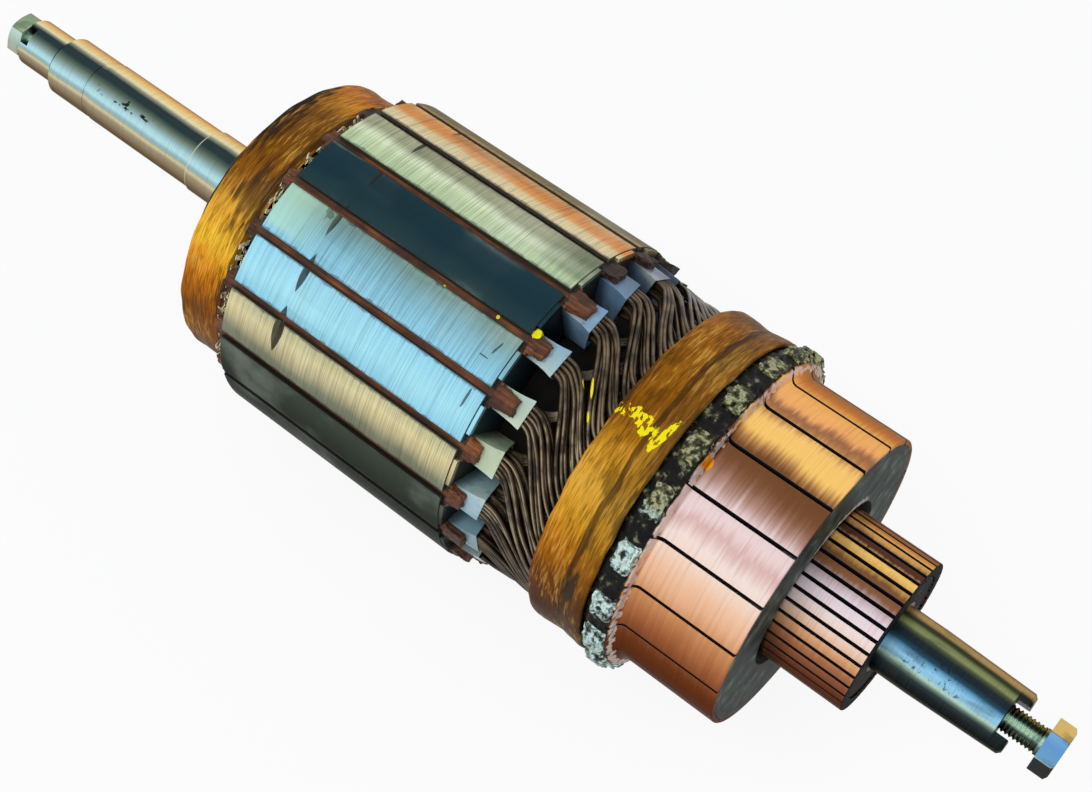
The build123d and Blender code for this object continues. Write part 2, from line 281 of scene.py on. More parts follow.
# Materials: sums on sockets are written as plain sums
class Flow:
    def __init__(self, paint, socket):
        self.paint = paint
        self.socket = socket

    def math(self, operation, other=0.0):
        return self.paint.node("Math", {0: self, 1: other}, operation=operation)

    def __add__(self, other):
        return self.math("ADD", other)

    __radd__ = __add__

    def __sub__(self, other):
        return self.math("SUBTRACT", other)

    def __rsub__(self, other):
        return self.paint.node("Math", {0: other, 1: self}, operation="SUBTRACT")

    def __mul__(self, other):
        return self.math("MULTIPLY", other)

    def __truediv__(self, other):
        return self.math("DIVIDE", other)

    def __gt__(self, other):
        return self.math("GREATER_THAN", other)

    def __lt__(self, other):
        return self.math("LESS_THAN", other)

    def larger(self, other):
        return self.math("MAXIMUM", other)

    def hypot(self, other):
        return (self * self + other * other).math("SQRT")

    def rise(self, low, high):
        values = {"Value": self, "From Min": low, "From Max": high}
        return self.paint.node("MapRange", values, interpolation_type="SMOOTHSTEP")

    def near(self, middle, half):
        return 1 - (self - middle).math("ABSOLUTE").rise(half * 0.6, half)


class Paint:
    def __init__(self, name):
        self.material = bpy.data.materials.new(name)
        self.material.use_nodes = True
        self.tree = self.material.node_tree
        self.shader = self.tree.nodes["Principled BSDF"]
        self.place = self.node("TexCoord", output="Object")
        parts = self.node("SeparateXYZ", {"Vector": self.place}).socket.node.outputs
        self.x, y, z = [Flow(self, part) * 1000 for part in parts]
        cosine = math.cos(math.radians(viewAngle))
        sine = math.sin(math.radians(viewAngle))
        across = z * cosine - y * sine
        out = y * cosine + z * sine
        self.radius = y.hypot(z)
        self.angle = across.math("ARCTAN2", out) * (180 / math.pi) + viewAngle
        self.colour = (0.8, 0.8, 0.8, 1)

    def feed(self, made, values):
        for key, value in values.items():
            if isinstance(value, Flow):
                self.tree.links.new(value.socket, made.inputs[key])
            else:
                made.inputs[key].default_value = value

    def node(self, kind, values=None, output=0, **settings):
        made = self.tree.nodes.new("ShaderNode" + kind)
        for key, value in settings.items():
            setattr(made, key, value)
        self.feed(made, values or {})
        return Flow(self, made.outputs[output])

    def fromSlot(self, phase, pitch):
        turns = (self.angle - phase) / pitch + 0.5
        share = turns.math("FRACT") - 0.5
        return share.math("ABSOLUTE") * (pitch * math.pi / 180) * self.radius

    def grain(self, along, around, detail=3.0, offset=0.0):
        values = {"Vector": self.place, "Location": [offset] * 3, "Scale": (along, around, around)}
        return self.node("TexNoise", {"Vector": self.node("Mapping", values), "Scale": 1.0, "Detail": detail})

    def sway(self, size, *grain):
        return (self.grain(*grain) - 0.5) * size

    def away(self, x, angle, wide, tall, tilt=0):
        turned = self.angle - angle
        return ((self.x - x - turned * tilt) / wide).hypot(turned / tall)

    def dab(self, x, angle, wide, tall, tilt, ragged):
        return (self.away(x, angle, wide, tall, tilt) + (ragged - 0.5)).rise(1.0, 0.88)

    def ramp(self, value, stops):
        made = self.node("ValToRGB", {"Fac": value})
        elements = made.socket.node.color_ramp.elements
        while len(elements) < len(stops):
            elements.new(1.0)
        for element, (place, *parts) in zip(elements, stops):
            element.position = place
            element.color = tone(*parts)
        return made

    # Tints listed by angle round the axis, which also carry painted light and shade
    def byAngle(self, tintsAndLight, shift=0.0):
        turned = (self.angle + shift - seamAngle) / 360
        closed = [*tintsAndLight, (seamAngle + 360, *tintsAndLight[0][1:])]
        return self.ramp(turned, [((angle - seamAngle) / 360, *parts) for angle, *parts in closed])

    def mix(self, base, other, share):
        return self.node("Mix", {0: share, 6: base, 7: other}, 2, data_type="RGBA")

    def cover(self, parts, share):
        self.colour = self.mix(self.colour, tone(*parts), share)

    def finish(self, roughness=0.5, metallic=0.0, coat=0.0, bump=None, depth=0.1, gloss=0.5):
        values = {
            "Base Color": self.colour, "Roughness": roughness, "Metallic": metallic, "Coat Weight": coat,
            "Coat Roughness": 0.2, "Specular IOR Level": gloss,
        }
        if metallic:
            values["Specular Tint"] = (0.4, 0.4, 0.4, 1)       # dull rim of worn metal
        if bump:
            height = {"Height": bump, "Strength": 1.0, "Distance": depth * mm}
            values["Normal"] = self.node("Bump", height, "Normal")
        self.feed(self.shader, values)


def tone(red, green, blue):
    parts = [value / 255 for value in (red, green, blue)]
    return (*[part / 12.92 if part < 0.04045 else ((part + 0.055) / 1.055) ** 2.4 for part in parts], 1.0)


# Turned steel of the shaft, with oil tints along it. Its colours by angle round the axis also hold painted
# reflections, as light and dark bands
shaftTintsAndReflections = (
    (-65, 120, 118, 104), (0, 110, 96, 74), (26, 150, 104, 60), (38, 226, 164, 94),
    (52, 248, 202, 128), (64, 246, 216, 154), (71, 236, 230, 184), (77, 150, 150, 128),
    (84, 44, 58, 62), (98, 42, 60, 62), (106, 84, 102, 92), (113, 124, 142, 128),
    (120, 150, 182, 186), (128, 180, 224, 232), (135, 192, 236, 240), (142, 150, 190, 204),
    (147, 176, 184, 162), (151, 222, 212, 170), (158, 170, 154, 124), (172, 142, 126, 100),
    (184, 124, 96, 62), (200, 110, 98, 78), (240, 120, 118, 104),
)
frontTintsAndReflections = (
    (-65, 96, 100, 92), (14, 96, 70, 40), (34, 150, 112, 64), (50, 196, 162, 106),
    (60, 170, 140, 92), (66, 60, 58, 38), (72, 56, 60, 42), (78, 124, 132, 86),
    (84, 138, 146, 100), (89, 76, 84, 58), (95, 34, 44, 48), (104, 26, 42, 54),
    (112, 42, 78, 100), (118, 106, 166, 206), (126, 152, 210, 242), (134, 150, 204, 230),
    (140, 190, 224, 206), (146, 110, 130, 120), (152, 48, 60, 60), (162, 28, 36, 38),
    (178, 24, 28, 28), (190, 70, 62, 44), (240, 96, 100, 92),
)
steel = Paint("shaft_steel")
wobble = steel.sway(12, 22, 60, 4)
middleTintAndReflections = steel.byAngle(shaftTintsAndReflections, wobble)
taper = steel.x.rise(370, 380)
steel.colour = steel.mix(middleTintAndReflections, steel.byAngle(frontTintsAndReflections, wobble), taper)
turning = steel.grain(2600, 14, 2)
stains = steel.grain(240, 420, 5, 3.0)
leftStains = stains.rise(0.57, 0.63) * steel.x.near(30, 18) * steel.angle.near(116, 12)
frontPits = steel.grain(1100, 620, 3, 9.0).rise(0.6, 0.66) * steel.x.near(402, 14)
frontPits = frontPits * steel.angle.near(118, 26)
fromPlane = ((steel.angle - driverAngle) * (math.pi / 180)).math("SINE") * steel.radius
slotShade = (steel.x > shaftEnd - 5.2) * (steel.x < shaftEnd - 0.05) * fromPlane.near(0, 10.6)
mottle = steel.grain(70, 300, 4, 12.0).rise(0.5, 0.7) * taper
steel.cover((36, 46, 46), mottle * 0.4)
steel.cover((70, 78, 72), turning.rise(0.45, 0.8) * 0.3)
steel.cover((34, 36, 34), leftStains.larger(frontPits * 0.75))
# Painted highlight: a pale line along the shoulder at the end of the journal
steel.cover((238, 236, 206), steel.x.near(67.6, 0.5) * 0.8)
steel.cover((16, 24, 30), slotShade * 0.92)
shaftPits = turning - leftStains * 2 - frontPits
steel.finish(roughness=0.26 + turning * 0.18, metallic=0.92, bump=shaftPits, depth=0.02)

# Core steel: every tooth has its own tint, with the fine lines of its sheets. The tints by angle also hold
# painted reflections, as light and dark bands on the teeth
coreTintsAndReflections = (
    (-65, 106, 96, 70), (24, 104, 90, 60), (44, 150, 131, 90), (48.2, 244, 200, 140),
    (53, 238, 166, 98), (58, 244, 168, 98), (60, 240, 220, 168), (64, 240, 224, 184),
    (66.6, 186, 184, 156), (73, 170, 176, 142), (76.3, 232, 242, 210), (79, 206, 226, 182),
    (85.3, 186, 206, 168), (85.7, 30, 58, 68), (96, 24, 52, 62), (104.2, 40, 66, 70),
    (104.8, 140, 170, 152), (108, 128, 162, 160), (114, 140, 196, 214), (123, 158, 224, 250),
    (123.8, 160, 226, 252), (134, 176, 240, 255), (142, 152, 218, 244), (142.8, 196, 196, 156),
    (149, 238, 224, 172), (153, 206, 194, 150), (157, 136, 138, 114), (161, 118, 122, 100),
    (161.6, 72, 80, 66), (178, 46, 52, 42), (200, 40, 42, 34),
)
coreScratches = (                                      # x, angle, half width, half height, lean
    (235.75, 111.6, 0.42, 2.7, -0.26), (233.3, 115.8, 2.2, 0.24, 0), (235.8, 128.4, 0.5, 4.0, -0.05),
    (157.9, 107.0, 1.9, 1.7, 0.5),
)
core = Paint("core_steel")
coreWobble = core.sway(7, 46, 26, 4)
inTooth = core.fromSlot(slotPhase, slotPitch).rise(0.6, 2.0)
core.colour = core.byAngle(coreTintsAndReflections, coreWobble * inTooth)
sheets = core.grain(3400, 30, 2)
brushed = core.grain(1100, 60, 4, 2.0)
patches = core.grain(38, 38, 4, 5.0)
dull = core.angle.near(95, 9.2).larger(core.angle.near(133, 9.2) * 0.7)
core.cover((60, 72, 70), sheets.rise(0.42, 0.72) * 0.4 * (1 - dull * 0.6))
core.cover((44, 62, 76), brushed.rise(0.5, 0.72) * 0.26 * (1 - dull * 0.7))
core.cover((228, 240, 226), patches.rise(0.48, 0.75) * 0.16 * (1 - dull * 0.9))
sunk = core.radius - (core.x > coreStart + 2) * 0.27
below = (1 - sunk.rise(64.45, 64.63)) * (core.x < plateStart - 0.4)
joint = core.x.near(plateStart, 0.25)
# Painted shade along the edges of the slot mouths
slotMouthShade = (core.fromSlot(slotPhase, slotPitch) + core.sway(2.4, 300, 300, 4, 7.0)).rise(2.5, 1.6)
# The cutter marks, the plate joint and the scratches darken the steel, and the painted slot-mouth shade joins
# them
marksAndShade = below.larger(joint).larger(slotMouthShade * 0.7)
scratchNoise = core.grain(900, 900)
for x, angle, wide, tall, tilt in coreScratches:
    marksAndShade = marksAndShade.larger(core.dab(x, angle, wide, tall, tilt, scratchNoise) * 0.9)
core.cover((36, 34, 28), marksAndShade * 0.88)
# Painted reflections: one tooth paler towards the rear end, another darker towards the front end
paleEnd = core.x.rise(166, 142) * core.angle.near(112.5, 9)
core.cover((196, 240, 214), paleEnd * 0.6)
darkReflectionEnd = core.x.rise(212, 240) * core.angle.near(74, 8)
core.cover((88, 100, 84), darkReflectionEnd * 0.6)
# Painted shade, near black, on the front plate inside radius 62.4 mm
hollowShade = (1 - core.radius.rise(62.4, 63.6)) * (core.x > plateStart - 0.3)
core.cover((8, 10, 12), hollowShade * 0.97)
coreMetal = (0.86 - marksAndShade * 0.5) * (1 - hollowShade)
core.finish(roughness=0.34 + sheets * 0.16, metallic=coreMetal, bump=sheets, depth=0.035)

# Zinc plating of the bolts. Its tints by angle also hold painted light and shade, each face of the heads and
# the thread lit or shaded in its colour
zinc = Paint("bolt_zinc")
bloom = zinc.grain(160, 160, 4)
threadTintAndShade = zinc.byAngle((
    (-65, 90, 92, 80), (30, 130, 112, 62), (58, 164, 152, 92), (76, 56, 66, 50),
    (90, 70, 86, 80), (106, 196, 226, 204), (126, 220, 240, 222), (142, 120, 142, 128),
    (166, 92, 98, 84), (190, 70, 62, 44),
))
frontHeadTintAndShade = zinc.byAngle((
    (-65, 120, 116, 104), (27, 120, 108, 84), (29, 232, 198, 122), (86, 226, 188, 112),
    (87.3, 60, 70, 60), (89, 124, 178, 222), (110, 104, 156, 212), (146, 112, 168, 204),
    (148, 190, 214, 206), (149.4, 58, 58, 56), (206, 66, 60, 56), (209, 120, 104, 76),
))
rearHeadTintAndShade = zinc.byAngle((
    (-65, 120, 116, 104), (54, 160, 156, 112), (57, 140, 160, 126), (114, 156, 182, 146),
    (116, 90, 104, 90), (117.5, 200, 228, 216), (150, 176, 200, 182), (175, 176, 180, 160),
    (178, 126, 104, 72),
))
frontHalf = zinc.mix(threadTintAndShade, frontHeadTintAndShade, zinc.x > shaftEnd + 9)
zinc.colour = zinc.mix(frontHalf, rearHeadTintAndShade, zinc.x < shaftStart)
zinc.cover((44, 60, 62), bloom.rise(0.52, 0.7) * 0.4)
zincGrain = zinc.grain(900, 900, 2)
zinc.finish(roughness=0.3 + bloom * 0.2, metallic=0.9, bump=zincGrain, depth=0.02)

# Copper: turned round, so its lines run round the axis. Its tints by angle round the axis are painted
# reflections
def copperPaint(name, tintsAndLight, wobbleSize, phase, pitch, frontFace=None, varnishEnd=None):
    paint = Paint(name)
    lines = paint.grain(1900, 16, 3)
    ragged = paint.sway(wobbleSize, 900, 22, 3, 2.0)
    broad = paint.sway(10, 30, 30, 3, 7.0)
    paint.colour = paint.byAngle(tintsAndLight, ragged + broad)
    paint.cover((150, 88, 56), lines.rise(0.48, 0.8) * 0.22)
    burr = (paint.fromSlot(phase, pitch) + paint.sway(0.08, 900, 900, 3, 6.0)).rise(0.43, 0.39)
    if frontFace:
        burr = burr.larger(paint.x > frontFace)
    paint.cover((12, 10, 18), burr)
    rough = 0.3 + lines * 0.16 + burr * 0.4
    beside = paint.x.rise(smallStart + 14, smallStart + 2) * (paint.x > largeEnd + 0.1)
    metal = (1 - burr) * (1 - beside * 0.6)
    if varnishEnd:
        soot = (paint.x + paint.sway(2, 260, 260, 4, 4.0)).rise(varnishEnd, varnishEnd - 0.7)
        crust = (paint.x + paint.sway(3, 330, 330, 4, 4.0)).near(varnishEnd + 0.35, 0.5)
        paint.cover((222, 204, 192), crust * 0.8)
        paint.cover((246, 160, 26), paint.dab(313.0, 103.7, 1.2, 2.4, 0, paint.grain(700, 700)))
        paint.cover((30, 27, 24), soot)
        metal = metal * (1 - soot * 0.9) * (1 - crust * 0.5)
        inside = 1 - paint.radius.rise(55.4, 55.9)
        paint.cover((120, 66, 40), inside * 0.6)
    paint.finish(roughness=rough, metallic=metal, bump=lines, depth=0.025, gloss=0.12)
    return paint


largeTintsAndReflections = (
    (-65, 120, 72, 46), (26, 150, 104, 58), (40, 196, 134, 74), (50, 226, 142, 76),
    (56, 248, 184, 104), (62, 254, 190, 114), (67, 250, 180, 112), (71, 160, 108, 80),
    (75, 190, 136, 84), (79, 254, 206, 120), (86, 254, 206, 114), (90, 176, 124, 76),
    (93, 112, 74, 46), (99, 122, 80, 52), (103, 146, 104, 82), (107, 184, 146, 134),
    (112, 238, 214, 214), (117, 244, 220, 220), (121, 226, 186, 182), (126, 252, 232, 226),
    (132, 252, 224, 206), (138, 250, 206, 174), (144, 242, 188, 150), (151, 210, 148, 98),
    (158, 184, 118, 74), (165, 152, 90, 56), (174, 118, 66, 42), (190, 104, 56, 34),
    (240, 110, 62, 40),
)
smallTintsAndReflections = (
    (-65, 120, 72, 46), (30, 160, 116, 76), (46, 180, 120, 76), (56, 240, 178, 98),
    (63, 206, 160, 96), (67, 90, 58, 48), (73, 84, 54, 46), (76, 206, 156, 90),
    (79, 250, 206, 116), (86, 206, 160, 86), (91, 122, 84, 56), (100, 140, 96, 68),
    (105, 196, 174, 176), (112, 234, 220, 232), (126, 250, 232, 230), (136, 246, 214, 192),
    (146, 224, 168, 122), (156, 170, 112, 76), (165, 140, 86, 62), (178, 106, 62, 44),
    (240, 110, 62, 40),
)
largeCopper = copperPaint("bar_copper_large", largeTintsAndReflections, 9, barPhase, slotPitch, varnishEnd=312.3)
smallCopper = copperPaint("bar_copper_small", smallTintsAndReflections, 6, smallSlitPhase, smallPitch, smallEnd - 0.2)


# Resin-bonded glass tape, with streaks that run round it. Its tints by angle hold painted light and shade,
# and its lightest streaks a painted highlight
def bandPaint(name, tintsAndLight, foldAt, soots):
    paint = Paint(name)
    streaks = paint.grain(1500, 170, 5)
    coarse = paint.grain(400, 62, 4, 6.0)
    clouds = paint.grain(58, 44, 5, 3.0)
    value = streaks * 0.62 + coarse * 0.26 + clouds * 0.66 - 0.27
    paint.colour = paint.byAngle(tintsAndLight, (clouds - 0.5) * 18)
    paint.cover((48, 28, 8), value.rise(0.56, 0.36) * 0.6)
    # Painted highlight on the lighter streaks
    paint.cover((250, 200, 92), value.rise(0.54, 0.7) * 0.4)
    fibres = paint.grain(3600, 110, 3, 9.0)
    paint.cover((84, 48, 10), fibres.rise(0.53, 0.4) * 0.4)
    fold = (paint.x + (clouds - 0.5) * 5 + (coarse - 0.5) * 2).near(foldAt, 1.4)
    paint.cover((52, 34, 14), fold * 0.75)
    for x, angle, wide, tall, share in soots:
        away = paint.away(x, angle, wide, tall) + (coarse - 0.5) * 1.8 + (streaks - 0.5) * 1.4
        paint.cover((34, 32, 28), away.rise(1.05, 0.45) * share)
    specks = paint.grain(420, 160, 5, 8.0).rise(0.62, 0.72)
    paint.cover((62, 38, 16), specks * 0.5)
    return paint, streaks + coarse


rearBandTintsAndLight = (
    (-65, 140, 86, 30), (30, 190, 120, 44), (48, 204, 114, 30), (64, 212, 142, 42),
    (73, 140, 92, 30), (95, 116, 70, 10), (107, 150, 92, 22), (118, 196, 136, 46),
    (129, 248, 184, 58), (138, 254, 200, 54), (148, 228, 144, 24), (157, 196, 114, 16),
    (166, 148, 84, 10), (190, 120, 72, 18), (240, 140, 86, 30),
)
frontBandTintsAndLight = (
    (-65, 130, 82, 26), (32, 134, 92, 48), (44, 146, 92, 34), (56, 180, 114, 38),
    (66, 152, 94, 24), (90, 148, 92, 10), (102, 142, 86, 10), (110, 172, 112, 20),
    (120, 212, 152, 42), (129, 226, 170, 62), (141, 220, 156, 36), (150, 194, 120, 20),
    (158, 160, 92, 4), (165, 118, 58, 6), (178, 76, 36, 6), (192, 64, 34, 10),
    (240, 110, 66, 20),
)
rearSoots = (                                          # x, angle, half width, half height, share
    (112.0, 80, 6.0, 30, 0.95), (127, 115, 9, 14, 0.65), (133, 152, 5, 12, 0.8), (133, 60, 5, 30, 0.45),
)
frontSoots = (
    (295.5, 162, 2.8, 9, 0.95), (279.5, 98, 2.5, 26, 0.5), (301, 112, 3, 30, 0.4), (296, 60, 5, 30, 0.3),
)
rearTape, rearStreaks = bandPaint("rear_band_resin", rearBandTintsAndLight, 131, rearSoots)
rearTape.finish(roughness=0.5, gloss=0.05, bump=rearStreaks, depth=0.1)
frontTape, frontStreaks = bandPaint("front_band_resin", frontBandTintsAndLight, 293.5, frontSoots)
frontTape.cover((84, 62, 28), frontTape.x.rise(292, 296) * 0.3)
strokes = frontTape.grain(820, 330, 3, 5.0)
ragged = frontTape.grain(330, 330, 3, 2.0) * 1.5
brushed = frontTape.dab(279.6, 105.6, 3.7, 2.5, 0.8, ragged)
for x, angle, wide, tall, tilt in ((287.2, 104.9, 5.2, 3.6, 0.6), (292.6, 106.6, 5.0, 4.8, 0.5)):
    brushed = brushed.larger(frontTape.dab(x, angle, wide, tall, tilt, ragged))
brushed = brushed * strokes.rise(0.48, 0.51)
brushed = brushed.larger(frontTape.dab(297.3, 105.9, 1.3, 6.4, -0.23, ragged * 0.6) * strokes.rise(0.36, 0.4))
yellow = (240, 226, 20)
frontTape.cover(yellow, brushed)
frontTape.finish(roughness=0.48, gloss=0.05, bump=frontStreaks, depth=0.1)

# Enamelled wire, with painted shade between the wires and painted highlights along their crests
enamel = Paint("wire_enamel")
wireCloud = enamel.grain(150, 150, 4)
enamel.colour = enamel.ramp(wireCloud, (
    (0.34, 44, 33, 20), (0.48, 64, 49, 31), (0.6, 84, 66, 43), (0.72, 108, 88, 62),
))
facing = enamel.node("TexCoord", output="Normal")
outward = enamel.node("VectorMath", {0: enamel.place, 1: (0, 1, 1)}, operation="MULTIPLY")
outward = enamel.node("VectorMath", {0: outward}, operation="NORMALIZE")
crest = enamel.node("VectorMath", {0: facing, 1: outward}, "Value", operation="DOT_PRODUCT")
inLeads = enamel.x.rise(plateEnd - 4, plateEnd + 4)
# Painted shade in the valleys between the wires
enamel.cover((32, 25, 16), crest.rise(0.72, 0.2) * inLeads * 0.7)
# Painted highlights along the crests of the wires, stronger towards 140 degrees round the axis
crestHighlight = crest.rise(0.9, 0.99) * inLeads * wireCloud.rise(0.3, 0.62)
enamel.cover((196, 180, 152), crestHighlight * (enamel.angle.near(140, 34) * 0.4 + 0.2))
smear = enamel.grain(500, 500)
for x, angle, wide, tall, tilt in (
    (267.3, 104.5, 0.6, 3.0, 0.66), (264.3, 105, 0.5, 1.5, 0.9), (272.2, 113, 0.5, 1.5, 0.7),
):
    enamel.cover(yellow, enamel.dab(x, angle, wide, tall, tilt, smear))
enamel.finish(roughness=0.3, metallic=0.35, coat=0.2)

# Slot films, wedges, solder, mouldings and small things
liner = Paint("liner_film")
filmCloud = liner.grain(60, 60, 3)
# Painted light and shade by angle round the axis
liner.colour = liner.byAngle((
    (-65, 120, 140, 150), (60, 80, 100, 122), (80, 116, 152, 182), (98, 128, 164, 188),
    (110, 170, 196, 190), (128, 178, 196, 172), (144, 184, 200, 164), (160, 150, 190, 206),
    (180, 120, 150, 160),
))
liner.cover((226, 230, 214), filmCloud.rise(0.5, 0.7) * 0.4)
charred = (liner.x + (filmCloud - 0.5) * 4).rise(plateStart - 90, plateStart - 96)
liner.cover((150, 130, 92), charred)
# Painted shade on the films close to the core
liner.cover((34, 46, 54), liner.x.rise(plateEnd + 5.5, plateEnd + 0.5) * 0.75)
liner.cover((60, 66, 60), liner.grain(300, 300, 4, 5.0).rise(0.56, 0.68) * 0.25)
liner.finish(roughness=0.35, coat=0.1)

fibre = Paint("wedge_fibre")
fibres = fibre.grain(40, 1300, 4)
wedgeCloud = fibre.grain(90, 90, 4, 4.0)
fibre.colour = fibre.ramp(fibres * 0.5 + wedgeCloud * 0.5, (
    (0.36, 28, 16, 9), (0.46, 64, 35, 16), (0.55, 100, 56, 25), (0.68, 150, 92, 42),
))
# Painted shade along the edges of the slot mouths, and over the wedges on the far side
mouthEdgeShade = (fibre.fromSlot(slotPhase, slotPitch) + (wedgeCloud - 0.5) * 1.2).rise(0.95, 1.35)
mouthEdgeShade = mouthEdgeShade * (fibre.x < plateEnd) * (fibre.x > wedgeStart + 0.6)
farSideShade = 1 - fibre.angle.rise(68, 78)
fibre.cover((16, 12, 12), mouthEdgeShade.larger(farSideShade) * 0.85)
wedgeSpatter = fibre.grain(600, 600)
for x, angle, size in ((243.0, 101.5, 1.8), (206.7, 105.5, 0.6), (228.5, 103.9, 0.7)):
    fibre.cover(yellow, fibre.dab(x, angle, size, size, 0, wedgeSpatter))
fibre.finish(roughness=0.65, bump=fibres + wedgeCloud, depth=0.2)

solder = Paint("solder")
solderCloud = solder.grain(420, 420, 5)
warmLumps = (
    (0.38, 16, 16, 13), (0.45, 60, 60, 40), (0.51, 106, 108, 76), (0.58, 178, 178, 136),
    (0.68, 104, 116, 100),
)
coldLumps = (
    (0.36, 26, 28, 28), (0.42, 96, 106, 98), (0.48, 160, 184, 176), (0.55, 214, 242, 240),
    (0.68, 170, 182, 168),
)
# Painted reflections: the lumps beyond about 130 degrees round the axis are cold and bluish, the others warm
lower = (solder.angle + solder.sway(30, 60, 60, 2, 4.0)).rise(118, 134)
warmSide = solder.ramp(solderCloud, warmLumps)
solder.colour = solder.mix(warmSide, solder.ramp(solderCloud, coldLumps), lower)
solderGrain = solder.grain(620, 620, 3, 2.0)
solder.finish(roughness=0.32, metallic=solderCloud.rise(0.4, 0.5) * 0.75, bump=solderGrain, depth=0.5)


def clouded(name, scale, detail, stops, offset=0.0):
    paint = Paint(name)
    cloud = paint.grain(scale, scale, detail, offset)
    paint.colour = paint.ramp(cloud, stops)
    return paint, cloud


varnish, varnishCloud = clouded("riser_varnish", 330, 5, (
    (0.4, 7, 7, 7), (0.54, 17, 17, 15), (0.61, 52, 54, 42), (0.68, 132, 130, 98), (0.76, 92, 60, 36),
), 1.0)
varnish.finish(roughness=0.4, gloss=0.15, bump=varnishCloud, depth=0.6)

largeMould, mouldCloud = clouded("large_moulding", 160, 5, (
    (0.34, 22, 28, 27), (0.5, 42, 53, 48), (0.62, 66, 78, 70), (0.74, 112, 118, 106),
))
largeMould.cover((26, 30, 30), largeMould.radius.near(52.6, 0.9) * 0.6)
# Pale chips round the bore, painted as a highlight on the upper side of its rim
chipsAndRimHighlight = (largeMould.radius + largeMould.sway(7, 420, 420, 4, 3.0)).near(34.2, 1.3)
largeMould.cover((190, 184, 176), chipsAndRimHighlight * largeMould.angle.near(72, 40) * 0.8)
# Painted shade inside the bore
recessShade = (1 - largeMould.radius.rise(32.8, 33.3)) * (largeMould.x < largeEnd - 0.3)
largeMould.cover((22, 18, 20), recessShade * 0.85)
largeMould.finish(roughness=0.6, gloss=0.1, bump=mouldCloud, depth=0.2)

smallMould, smallCloud = clouded("small_moulding", 260, 4, (
    (0.36, 10, 12, 13), (0.56, 24, 29, 30), (0.68, 56, 62, 56), (0.76, 140, 146, 132),
))
smallMould.finish(roughness=0.7, gloss=0.05, bump=smallCloud, depth=0.25)
filler, _ = clouded("slit_filling", 400, 3, ((0.3, 5, 4, 10), (0.7, 15, 12, 22)))
filler.finish(roughness=0.8, gloss=0.05)
# A near-black material of painted shade, for the winding deep under the leads and heads
shade, _ = clouded("deep_winding_shade", 300, 3, ((0.3, 8, 7, 6), (0.7, 24, 20, 16)))
shade.finish(roughness=0.9)
fray, _ = clouded("frayed_film", 600, 3, ((0.34, 110, 94, 62), (0.44, 206, 194, 152), (0.6, 246, 242, 222)))
fray.finish(roughness=0.6)
print("materials mixed")

# Shaft and bolts
shaftShape = {
    "pilotRadius": 10.0, "pilotEnd": -12.0, "seatStart": -9.5, "seatEnd": 9.5, "seatRadius": 12.5,
    "reliefRadius": 12.3, "reliefEnd": 12.5, "journalRadius": 12.7, "journalEnd": 67.5, "shankRadius": 13.3,
    "stackStart": 131.0, "stackRadius": 14.0, "frontStart": 383.05, "frontEnd": 397.15, "frontRadius": 12.5,
    "taperRadius": 11.6, "edge": 0.35, "driveSlot": 8.0, "frontSlot": 12.5, "slotDepth": 5.0,
    "holeRadius": 5.15, "holeDepth": 28.0,
}


def makeShaft(shape):
    edge = shape["edge"]
    pilot = shape["pilotRadius"]
    journal = shape["journalRadius"]
    journalEnd = shape["journalEnd"]
    shank = shape["shankRadius"]
    taper = shape["taperRadius"]
    profile = (
        (shaftStart, 0), (shaftStart, pilot - 1), (shaftStart + 1, pilot), (shape["pilotEnd"], pilot),
        (shape["seatStart"], shape["seatRadius"]), (shape["seatEnd"], shape["seatRadius"]),
        (shape["seatEnd"] + 0.1, shape["reliefRadius"]), (shape["reliefEnd"], shape["reliefRadius"]),
        (shape["reliefEnd"] + 0.1, journal), (journalEnd - edge, journal), (journalEnd, journal - 0.15),
        (journalEnd + 0.1, shank - 0.15), (journalEnd + edge, shank), (shape["stackStart"], shank),
        (shape["stackStart"], shape["stackRadius"]), (shape["frontStart"], shape["stackRadius"]),
        (shape["frontStart"], shape["frontRadius"]), (shape["frontEnd"], shape["frontRadius"]),
        (shaftEnd - 1.2, taper), (shaftEnd, taper - 1.2), (shaftEnd, 0),
    )
    piece = lathe("turned_shaft", profile)
    cutters = []
    for face, way, width in ((shaftStart, 1, shape["driveSlot"]), (shaftEnd, -1, shape["frontSlot"])):
        bpy.ops.mesh.primitive_cube_add(size=1)
        slot = bpy.context.object
        slot.data.transform(Matrix.Diagonal((shape["slotDepth"] * 2 * mm, 40 * mm, width * mm, 1)))
        turnMesh(slot, driverAngle)
        slot.data.transform(Matrix.Translation((face * mm, 0, 0)))
        rim = [spot(face - way, shape["holeRadius"], step * 10) for step in range(36)]
        cutters.extend((slot, prism("hole", rim, way * (shape["holeDepth"] + 1))))
    cutAway(piece, cutters)
    finishPiece(piece, steel, ["shaft"], 28)


boltShape = {
    "radius": 5.0, "pitch": 1.5, "threadDepth": 0.42, "length": 28.0, "plain": 1.2,
    "flats": 17.0, "headHeight": 6.8,
}


